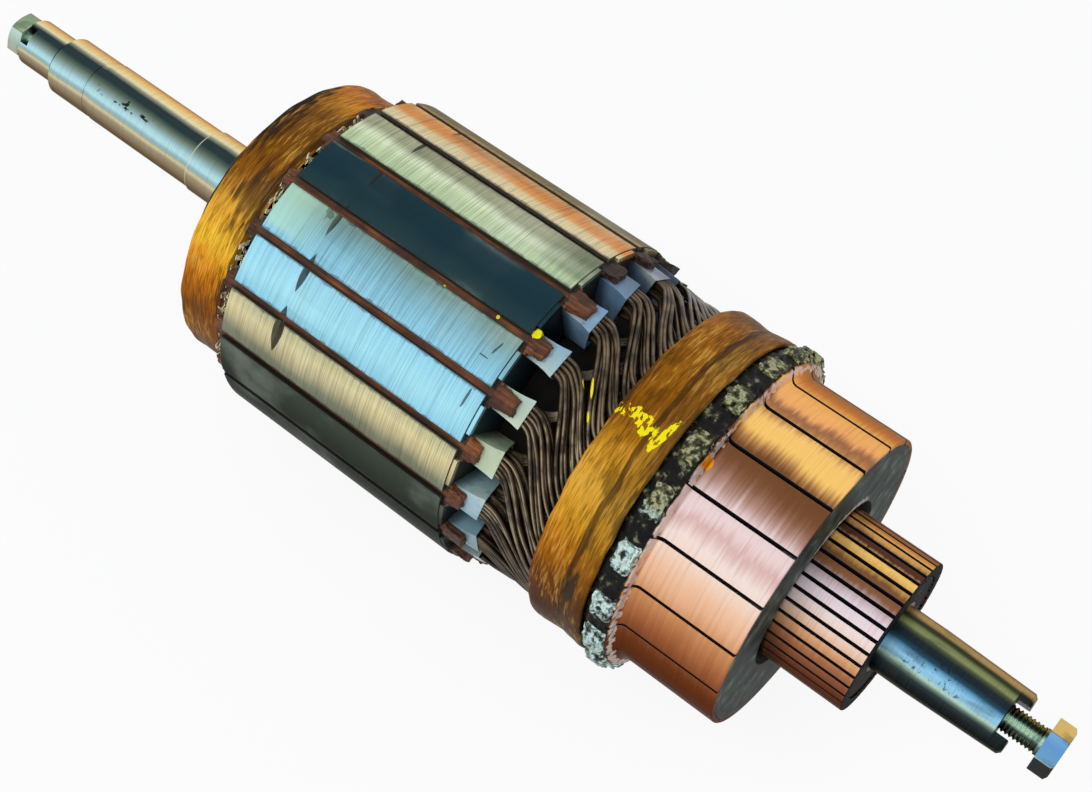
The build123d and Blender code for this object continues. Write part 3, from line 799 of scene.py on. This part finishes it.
def makeBolt(name, node, face, way, turn, shape):
    rings = int(shape["length"] / shape["pitch"] * 8)
    step = shape["length"] / rings
    profile = [(face - way * (step * ring - 0.05), shape["radius"]) for ring in range(rings + 1)]
    shank = lathe("shank", [(profile[0][0], 0), *profile, (profile[-1][0], 0)], 24)
    for vertex in shank.data.vertices:
        along = (face - vertex.co.x / mm) * way
        turns = math.atan2(vertex.co.z, vertex.co.y) / (2 * math.pi)
        reach = math.hypot(vertex.co.y, vertex.co.z)
        phase = (along / shape["pitch"] - turns) % 1
        if reach > mm and along > shape["plain"]:
            scaleOut(vertex, 1 - shape["threadDepth"] * (1 - abs(2 * phase - 1)) * mm * 2 / reach)
    flat = shape["flats"] / 2
    height = shape["headHeight"]
    corner = flat / math.cos(math.pi / 6)
    head = prism("head", [spot(face, corner, turn + step * 60) for step in range(6)], way * height)
    dome = [spot(face - way, corner * 1.6, step * 5) for step in range(72)]
    domed = prism("dome", dome, way * (height + 1))
    for vertex in domed.data.vertices:
        outer = abs(vertex.co.x / mm - face - way * height) < 0.5
        reach = flat - 0.2 if outer else flat - 0.2 + height * 1.9
        scaleOut(vertex, reach * mm / math.hypot(vertex.co.y, vertex.co.z))
    cutAway(head, [domed], "INTERSECT")
    breakEdges(head, 0.25, 2, 20)
    finishPiece(joinAll(name, [shank, head]), zinc, [node], 30)


makeShaft(shaftShape)
makeBolt("rear_bolt", "drive_end_bolt", shaftStart, -1, 56, boltShape)
makeBolt("front_bolt", "commutator_end_bolt", shaftEnd + 9.0, 1, 28, boltShape)
print("shaft and bolts turned")

# Core: the stack and its end plates, with the cutter marks beside the slots
markShape = {
    "cutterRadius": 36.0, "slope": 5.5, "depth": 1.1,
    "marks": ((161.4, 107.5, 1.1), (162.6, 125.9, 1.35), (162.1, 146.0, 2.0), (162.0, 69.4, 0.8),
              (161.6, 89.0, 0.7), (161.8, 50.4, 0.5), (142.6, 140.6, 0.3), (152.8, 143.2, 0.25),
              (157.4, 106.4, 0.5), (235.8, 111.0, 0.14), (236.2, 128.9, 0.18), (235.6, 72.6, 0.14)),
}


def makeCore(shape):
    piece = mergedCopy("core_stack", "core_laminations")
    for vertex in piece.data.vertices:
        if vertex.co.x < (coreStart + 1) * mm:
            vertex.co.x = rearFace * mm
    breakEdges(piece, 0.18, 1, 40)
    cutters = []
    for x, angle, share in shape["marks"]:
        rim = shape["cutterRadius"]
        slope = shape["slope"]
        low, high = x - slope, x + slope
        tool = lathe("tool", ((low, 0), (low, rim - 5), (x, rim), (high, rim - 5), (high, 0)))
        rise = coreRadius + rim - shape["depth"] * share
        tool.data.transform(Matrix.Translation(spot(0, rise, angle)))
        cutters.append(tool)
    cutAway(piece, cutters)
    finishPiece(piece, core, ["core_laminations"], 25)


makeCore(markShape)
dressCopy("rear_plate", "rear_end_plate", core, 0.2, 25)
dressCopy("front_plate", "front_end_plate", core, 0.2, 25)
print("core stacked")

# Slot films and wedges
toothWidth = 10.8
slotClearance = 0.1


def slotHalf(radius):
    return radius * math.sin(math.pi / slotCount) - toothWidth / 2 - slotClearance


filmShape = {"floor": 44.1, "top": 61.1, "wall": 0.45, "flare": 0.9, "short": 1.9}
wedgeShape = {
    "floor": 61.2, "top": 63.2, "fronts": {104: 5.8, 123: 8.0, 142: 4.6, 161: 4.8, 85: 7.8, 66: 4.8},
    "endWide": 7.6, "endTall": 2.8,
}


def makeLiners(shape):
    films = []
    rng = random.Random(4)
    tabEnd = linerEnd - shape["short"]
    stations = (linerStart, plateEnd - 1, plateEnd + 3, plateEnd + 6, plateEnd + 9, tabEnd)
    for number in range(slotCount):
        corners = crossSection(linerStart, shape["floor"], shape["top"], slotHalf)
        film = startOutline("film", corners, "NOTHING")
        for near, far in zip(stations, stations[1:]):
            inEdit(film, lambda: bpy.ops.mesh.select_all(action="DESELECT"))
            for vertex in film.data.vertices:
                vertex.select = abs(vertex.co.x - near * mm) < weldGap
            bpy.ops.object.mode_set(mode="EDIT")
            extrude(far - near)
            bpy.ops.object.mode_set(mode="OBJECT")
        skews = [rng.uniform(-1, 1) for _ in range(4)]
        for vertex in film.data.vertices:      # the tabs flare, and their low corners are cut back
            beyond = max(0, (vertex.co.x / mm - plateEnd - 2) / (tabEnd - plateEnd - 2))
            side = 1 if vertex.co.z > 0 else -1
            high = vertex.co.y / mm > (shape["floor"] + shape["top"]) / 2
            vertex.co.z += side * shape["flare"] * beyond ** 2 * (1.2 if high else 0.6) * mm
            vertex.co.y += (-0.9 if high else 0.3) * beyond ** 2 * mm
            corner = (2 if high else 0) + (1 if side > 0 else 0)
            vertex.co.x -= ((1 + skews[corner]) * 1.1 + (0 if high else 3.4)) * beyond ** 3 * mm
        closeUp(film)
        useModifier(film, "SOLIDIFY", thickness=shape["wall"] * mm, offset=-1.0)
        breakEdges(film, 0.12, 1, 30)
        turnMesh(film, slotPhase + number * slotPitch)
        films.append(film)
    finishPiece(joinAll("slot_films", films), liner, ["slot_liners"], 30)


def makeWedges(shape):
    strips = []
    rng = random.Random(9)
    for number in range(slotCount):
        angle = (slotPhase + number * slotPitch) % 360
        corners = crossSection(wedgeStart, shape["floor"], shape["top"], slotHalf)
        strip = prism("strip", corners, plateEnd - wedgeStart + 1)
        turnMesh(strip, angle)
        front = shape["fronts"].get(int(angle), rng.uniform(5, 9))
        end = makeLump((front + 1, shape["endWide"], shape["endTall"]), 7, 0.75, 2.4, number + 1)
        for vertex in end.data.vertices:
            vertex.co.y *= 1 - 0.16 * (vertex.co.x / front + 0.5)
        wrapLump(end, plateEnd + front / 2 + 0.2, 62.3, angle, 64.2)
        tail = makeLump((4.2, shape["endWide"] * 0.8, 2.2), 6, 0.8, 2.0, number + 40)
        wrapLump(tail, wedgeStart - 1.0, 61.6, angle + rng.uniform(-0.6, 0.6), 63.4)
        strips.extend((strip, end, tail))
    finishPiece(joinAll("wedge_strips", strips), fibre, ["slot_wedges"], 30)


makeLiners(filmShape)
makeWedges(wedgeShape)
print("slots filled")

# Coil leads: the wires of each slot, fanned out and swept round to the risers
leadShape = {
    "wireRadius": 0.84, "start": plateEnd + 14.5, "sweep": 35.97,
    "lanes": 9, "lowLanes": 5, "counterLanes": 6, "counterStations": (-0.25, 0.0, 0.12, 0.3, 0.6),
    "sweepSteps": ((-0.2, 0), (0, 0), (0.12, 0.15), (0.26, 0.45), (0.42, 0.76), (0.68, 0.93), (1, 1)),
    "widthSteps": ((-0.2, 3.0), (0.0, 3.2), (0.12, 5.4), (0.26, 7.0), (0.42, 7.9), (1.0, 7.4)),
    "heightSteps": ((-0.2, 59), (0, 59.2), (0.12, 58.6), (0.26, 58.3), (0.42, 58.8), (0.6, 59.2), (1, 59.2)),
    "sinkSteps": ((-0.2, 1.6), (0.26, 1.5), (0.4, 0.5), (0.5, 0.0), (1.0, 0.0)),
    "stations": (-0.12, 0.0, 0.08, 0.16, 0.25, 0.34, 0.44, 0.56, 0.72, 0.97),
}


def along(steps, place):
    for (near, low), (far, high) in zip(steps, steps[1:]):
        if place <= far:
            share = (place - near) / (far - near)
            return low + (high - low) * share
    return steps[-1][1]


def makeLeads(shape):
    span = largeStart - shape["start"]
    for number in range(slotCount):
        rng = random.Random(100 + number)
        slotAngle = slotPhase + number * slotPitch
        strands = []
        for lane in range(shape["lanes"] + shape["lowLanes"]):
            top = lane < shape["lanes"]
            count = shape["lanes"] if top else shape["lowLanes"]
            place = (lane if top else lane - shape["lanes"]) / (count - 1) * 2 - 1
            sunk = lane % 2 if top else 2.1
            drift = [rng.uniform(-0.45, 0.45) for _ in shape["stations"]]
            lift = [rng.uniform(-0.2, 0.2) for _ in shape["stations"]]
            swing = rng.uniform(-0.62, 0.62) * (1 - place * place)
            points = []
            for step, station in enumerate(shape["stations"]):
                angle = slotAngle + along(shape["sweepSteps"], station) * shape["sweep"]
                stray = swing * math.sin(math.pi * max(0, min(1, station / 0.56)))
                angle += (place + stray) * along(shape["widthSteps"], station)
                angle += drift[step] * min(1, station * 4 + 0.3)
                radius = along(shape["heightSteps"], station) - sunk * along(shape["sinkSteps"], station)
                radius += lift[step] * (0.4 if station > 0.4 else 1.0)
                radius += stray * 0.9
                radius -= 0 if top else 0.9
                points.append(spot(shape["start"] + station * span, radius, angle))
            strands.append(points)
        for lane in range(shape["counterLanes"]):
            place = lane / (shape["counterLanes"] - 1) * 2 - 1
            points = []
            for station in shape["counterStations"]:
                past = max(0, station)
                angle = slotAngle - past * 62 + place * (1.7 + 7 * past) + rng.uniform(-0.4, 0.4)
                points.append(spot(shape["start"] + station * span, 50.2 + 2.4 * station, angle))
            strands.append(points)
        name = f"coil_leads_{number + 1:02d}"
        piece = strandPiece(name, strands, shape["wireRadius"], 4)
        finishPiece(piece, enamel, [f"winding_bundle_{number + 1:02d}"])
    # A dark ring of painted shade stands in for the winding deep under the leads
    shadePacking = lathe("lead_shade_packing", (
        (plateEnd + 0.2, 30), (plateEnd + 0.2, 43.4), (plateEnd + 15, 43.4), (plateEnd + 21, 50.2),
        (largeStart - 4, 52.6), (largeStart - 4, 30), (plateEnd + 0.2, 30),
    ), 64)
    finishPiece(shadePacking, shade, limit=30)


makeLeads(leadShape)
print("coil leads bent")

# Rear winding head
headShape = {
    "strands": 8, "wireRadius": 0.95, "row": 2.1,
    "route": (                                         # x from the end of the turns, radius, angle
        (3.0, 55.0, 0.0), (-3.0, 55.0, 1.5), (-12.0, 54.9, 12.0), (-20.0, 54.2, 24.0), (-25.0, 51.4, 34.0),
        (-28.0, 48.8, 41.0), (-28.8, 47.0, 47.0), (-24.0, 45.6, 57.0), (-12.0, 45.2, 69.0),
        (-2.0, 45.2, 79.0), (3.0, 45.2, 80.5),
    ),
}


def makeRearHead(shape):
    rng = random.Random(31)
    strands = []
    for number in range(slotCount):
        slotAngle = slotPhase + number * slotPitch
        for strand in range(shape["strands"]):
            row = strand % 4
            layer = strand // 4
            points = []
            for x, radius, turn in shape["route"]:
                side = math.degrees((row - 1.5) * shape["row"] / radius)
                depth = layer * 1.7 * (1 if radius > 50 else -1)
                angle = slotAngle + turn + side + rng.uniform(-0.5, 0.5)
                reach = radius - depth + rng.uniform(-0.25, 0.25)
                points.append(spot(turnsEnd + x + layer * 1.2, reach, angle))
            strands.append(points)
    piece = strandPiece("rear_coil_heads", strands, shape["wireRadius"], 3)
    finishPiece(piece, enamel, ["rear_end_turns"])
    # A dark ring of painted shade stands in for the winding deep inside the rear heads
    shadePacking = lathe("head_shade_packing", (
        (turnsStart + 3, 47.0), (turnsStart + 3, 51.5), (turnsStart + 9, 54.2), (turnsEnd + 3.6, 54.2),
        (turnsEnd + 3.6, 46.0), (turnsStart + 9, 46.0), (turnsStart + 3, 47.0),
    ), 64)
    finishPiece(shadePacking, shade, limit=30)


makeRearHead(headShape)


# Bands
def roughen(piece, depth, edgeWander, size, start, end):
    for vertex in piece.data.vertices:
        radial = math.hypot(vertex.co.y, vertex.co.z)
        place = Vector((vertex.co.x * 2.2, vertex.co.y, vertex.co.z)) / (size * mm)
        scaleOut(vertex, 1 + noise.noise(place) * depth * mm / radial)
        near = min(vertex.co.x / mm - start, end - vertex.co.x / mm)
        wander = noise.noise(Vector((start, vertex.co.y / mm / 9, vertex.co.z / mm / 9)))
        vertex.co.x += wander * edgeWander * mm * max(0, 1 - near / 4)


frontBandProfile = (
    (279.3, 60.3), (278.9, 61.4), (279.0, 62.4), (280.0, 63.1), (281.8, 63.4), (284.0, 63.3), (287.0, 63.1),
    (290.0, 62.8), (292.6, 62.6), (293.8, 62.8), (295.0, 63.1), (297.0, 63.3), (299.5, 63.6), (301.2, 63.7),
    (301.8, 63.2), (301.8, 62.0), (301.2, 60.3), (279.3, 60.3),
)
rearBandProfile = (
    (111.9, 56.4), (111.7, 57.2), (112.2, 57.7), (113.0, 57.6), (115.0, 57.3), (119.0, 57.4), (124.0, 57.6),
    (128.0, 57.6), (131.0, 57.4), (133.0, 57.0), (133.4, 56.4), (111.9, 56.4),
)
for bandName, profile, bandNode, bandPaintUsed in (
    ("front_tape_band", frontBandProfile, "front_band", frontTape),
    ("rear_tape_band", rearBandProfile, "rear_band", rearTape),
):
    band = lathe(bandName, profile, 144)
    useModifier(band, "SUBSURF", levels=1, render_levels=1)
    roughen(band, 0.24, 0.5, 7, profile[1][0], profile[-3][0])
    finishPiece(band, bandPaintUsed, [bandNode], 50)
print("bands wound")

# Frayed film ends between the rear band and the core
frayShape = {
    "count": 420, "start": 133.4, "end": 137.6, "length": (2.0, 5.0), "width": (0.5, 1.9),
    "floor": (57.0, 59.6), "lean": (-4.0, 4.0), "shift": (-0.6, 1.8), "top": 62.6, "thick": 0.25,
}


def makeFray(shape):
    rng = random.Random(77)
    shards = []
    for number in range(shape["count"]):
        angle = rng.uniform(0, 360)
        x = rng.uniform(shape["start"], shape["end"])
        length, width, low, lean = [rng.uniform(*shape[key]) for key in ("length", "width", "floor", "lean")]
        high = min(low + length, shape["top"])
        shift = x + rng.uniform(*shape["shift"])
        shards.append(startOutline("shard", [
            spot(x, low, angle), spot(x + 0.3, low, angle + width),
            spot(shift + 0.4, high, angle + width + lean), spot(shift, high, angle + lean),
        ]))
    piece = joinAll("frayed_ends", shards)
    useModifier(piece, "SOLIDIFY", thickness=shape["thick"] * mm, offset=0.0)
    finishPiece(piece, fray)


makeFray(frayShape)

# Large commutator
ribHalf = 0.28
largeShape = {
    "slit": 0.6, "riserTop": 62.3, "riserEnd": 312.2, "barRadius": 57.4, "floor": 51.7,
    "lip": 55.5, "hook": 47.7, "hookStart": 309.1, "hookEnd": 347.2, "frontEdge": 0.35,
}


def makeBar(profile, half, steps, edge):
    bar = startOutline("bar", [spot(x, radius, -half) for x, radius in profile])
    spinRound(bar, half * 2, steps)
    breakEdges(bar, edge, 1, 50)
    return bar


def makeLargeBars(shape):
    half = (slotPitch - math.degrees(shape["slit"] / shape["barRadius"])) / 2
    top = shape["riserTop"]
    end = shape["riserEnd"]
    track = shape["barRadius"]
    edge = shape["frontEdge"]
    profile = (
        (largeStart + 0.1, shape["floor"]), (largeStart + 0.1, top - 0.5), (largeStart + 0.6, top),
        (end - 0.4, top), (end + 0.1, top - 0.6), (end + 0.5, 60.2), (end + 1.1, 58.7), (end + 1.9, 57.8),
        (end + 3.0, track), (largeEnd - edge, track), (largeEnd, track - edge), (largeEnd, shape["lip"]),
        (shape["hookEnd"], shape["lip"]), (shape["hookEnd"], shape["hook"]),
        (shape["hookStart"], shape["hook"]), (shape["hookStart"] + 2, shape["floor"]),
    )
    model = makeBar(profile, half, 12, 0.12)
    for number in range(slotCount):
        bar = turnedCopy(model, f"copper_bar_{number + 1:02d}", barPhase + (number + 0.5) * slotPitch)
        finishPiece(bar, largeCopper, [f"large_bar_{number + 1:02d}"], 30)
    bpy.data.objects.remove(model)


def makeRibs(name, count, phase, start, length, floor, top):
    ribs = []
    for number in range(count):
        rib = prism("rib", crossSection(start, floor, top, lambda radius: ribHalf), length)
        turnMesh(rib, phase + number * 360 / count)
        ribs.append(rib)
    finishPiece(joinAll(name, ribs), filler)


makeLargeBars(largeShape)
dressCopy("large_moulded_body", "large_commutator_body", largeMould, 0.25)
ribLength = largeEnd - largeStart - 0.3
makeRibs("slit_ribs", slotCount, barPhase, largeStart, ribLength, 51.0, 55.8)
print("large commutator built")

# Varnish over the risers, and one lump of solder on each riser, each a little different
varnishProfile = (
    (301.0, 60.6), (301.0, 61.2), (303.6, 62.1), (306.0, 62.7), (307.5, 62.8), (309.0, 62.8), (310.5, 62.7),
    (311.2, 62.3), (311.8, 61.4), (312.0, 60.0), (311.6, 58.8), (308.0, 58.8), (301.0, 60.6),
)
varnishShape = {"rough": 1.8, "fine": 1.0, "grain": 1.5, "highest": 64.4}
solderShape = {"x": 307.9, "long": 7.6, "wide": 12.2, "tall": 3.2, "middle": 63.5}


def makeVarnish(shape):
    ring = lathe("riser_varnish", varnishProfile, 360)
    for vertex in ring.data.vertices:
        place = vertex.co / mm
        wander = noise.noise_vector(place / shape["grain"]) * shape["fine"]
        wander += noise.noise_vector(place / 4.4) * shape["rough"] * 0.5
        wander.x *= 0.6
        moved = place + wander * max(0, min(1, (place.x - 302) / 2.5))
        radial = math.hypot(moved.y, moved.z)
        share = min(radial, shape["highest"]) / radial
        vertex.co = Vector((moved.x, moved.y * share, moved.z * share)) * mm
    finishPiece(ring, varnish, limit=60)


def makeSolder(shape):
    lumps = []
    rng = random.Random(500)
    for number in range(slotCount):
        long = shape["long"] * rng.uniform(0.82, 1.04)
        wide = shape["wide"] * rng.uniform(0.74, 1.12)
        lump = makeLump((long, wide, shape["tall"]), 9, 1.15, 1.9, number + 20)
        for vertex in lump.data.vertices:
            vertex.co.z -= 0.9 * abs(vertex.co.y * 2 / wide) ** 3 + 0.5 * abs(vertex.co.x * 2 / long) ** 3
        angle = barPhase + (number + 0.5) * slotPitch + rng.uniform(-1.7, 1.7)
        wrapLump(lump, shape["x"] + rng.uniform(-0.3, 0.3), shape["middle"] + rng.uniform(-0.2, 0.3), angle)
        lumps.append(lump)
    finishPiece(joinAll("solder_lumps", lumps), solder, ["solder_joints"], 32)


makeVarnish(varnishShape)
makeSolder(solderShape)

# Small commutator
smallShape = {"slit": 0.6, "floor": 24.5, "edge": 0.3}


def makeSmallBars(shape):
    half = (smallPitch - math.degrees(shape["slit"] / smallRadius)) / 2
    profile = (
        (smallStart, shape["floor"]), (smallStart, smallRadius), (smallEnd - shape["edge"], smallRadius),
        (smallEnd, smallRadius - shape["edge"]), (smallEnd, shape["floor"]),
    )
    model = makeBar(profile, half, 4, 0.1)
    bars = [turnedCopy(model, "bar", smallPhase + number * smallPitch) for number in range(smallCount)]
    bpy.data.objects.remove(model)
    finishPiece(joinAll("small_copper_bars", bars), smallCopper, ["small_commutator_bars"], 30)


makeSmallBars(smallShape)
dressCopy("small_moulded_body", "small_commutator_body", smallMould, 0.2)
ribLength = smallEnd - smallStart - 0.6
makeRibs("small_slit_ribs", smallCount, smallSlitPhase, smallStart, ribLength, 23.9, 27.4)
smallLeads = mergedCopy("small_leads", "small_commutator_leads")
finishPiece(smallLeads, enamel, ["small_commutator_leads"], 30)
print("small commutator built")

# Floor, light and camera
stageShape = {"floorSize": 8.0, "drop": 0.0012, "white": 1.0, "cameraShare": 0.9}


def makeStage(shape):
    bpy.ops.mesh.primitive_plane_add(size=shape["floorSize"], location=(0, 0, 0))
    floor = bpy.context.object
    floor.name = "floor"
    floor.data.transform(Matrix.Translation((0.2, 0, cadLow.z - shape["drop"])))
    paint = Paint("floor_white")
    paint.finish(roughness=0.9)
    rays = paint.tree.nodes.new("ShaderNodeLightPath")
    seen = Flow(paint, rays.outputs["Is Camera Ray"]) + Flow(paint, rays.outputs["Is Glossy Ray"])
    seen = seen + Flow(paint, rays.outputs["Is Transmission Ray"])
    glow = paint.node("Emission", {"Color": (1, 1, 1, 1), "Strength": shape["white"]})
    matt = Flow(paint, paint.shader.outputs[0])
    surface = paint.node("MixShader", {0: seen * shape["cameraShare"], 1: matt, 2: glow})
    paint.tree.links.new(surface.socket, paint.tree.nodes["Material Output"].inputs["Surface"])
    floor.data.materials.append(paint.material)


def makeWorld():
    world = bpy.data.worlds.new("studio")
    bpy.context.scene.world = world
    world.use_nodes = True
    tree = world.node_tree
    plain = tree.nodes["Background"]
    white = tree.nodes.new("ShaderNodeBackground")
    for sky, colour, strength in ((plain, (0.93, 0.96, 1.0, 1), 0.62), (white, (1, 1, 1, 1), 0.95)):
        sky.inputs["Color"].default_value = colour
        sky.inputs["Strength"].default_value = strength
    rays = tree.nodes.new("ShaderNodeLightPath")
    either = tree.nodes.new("ShaderNodeMath")
    either.operation = "MAXIMUM"
    mixer = tree.nodes.new("ShaderNodeMixShader")
    for source, target in (
        (rays.outputs["Is Camera Ray"], either.inputs[0]), (rays.outputs["Is Glossy Ray"], either.inputs[1]),
        (either.outputs[0], mixer.inputs[0]), (plain.outputs[0], mixer.inputs[1]),
        (white.outputs[0], mixer.inputs[2]),
        (mixer.outputs[0], tree.nodes["World Output"].inputs["Surface"]),
    ):
        tree.links.new(source, target)


def makeLamp(name, place, aim, size, power):
    bpy.ops.object.light_add(type="AREA", location=place)
    lamp = bpy.context.object
    lamp.name = name
    lamp.data.size = size
    lamp.data.energy = power
    lamp.visible_glossy = False
    direction = Vector(aim) - Vector(place)
    lamp.rotation_euler = direction.to_track_quat("-Z", "Y").to_euler()


cameraShape = {
    "place": (0.445175, -0.256664, 0.544594), "right": (0.775517, 0.631327, 0.0),
    "up": (-0.539375, 0.662564, 0.519696), "forward": (-0.328098, 0.403033, -0.854351), "lens": 58.85,
}


def makeCamera(shape):
    bpy.ops.object.camera_add()
    camera = bpy.context.object
    camera.data.lens = shape["lens"]
    camera.data.sensor_width = 36
    camera.data.clip_start = 0.01
    right, up, forward = (Vector(shape[key]) for key in ("right", "up", "forward"))
    turn = Matrix((right, up, -forward)).transposed().to_4x4()
    camera.matrix_world = Matrix.Translation(shape["place"]) @ turn
    bpy.context.scene.camera = camera


makeStage(stageShape)
makeWorld()
makeLamp("key", (0.1, -0.5, 0.9), (0.2, 0, 0), 0.5, 4.0)
makeLamp("fill", (0.9, 0.4, 0.7), (0.25, 0, 0), 0.6, 1.4)
makeCamera(cameraShape)
bpy.context.scene.view_settings.view_transform = "Standard"
print("stage set")
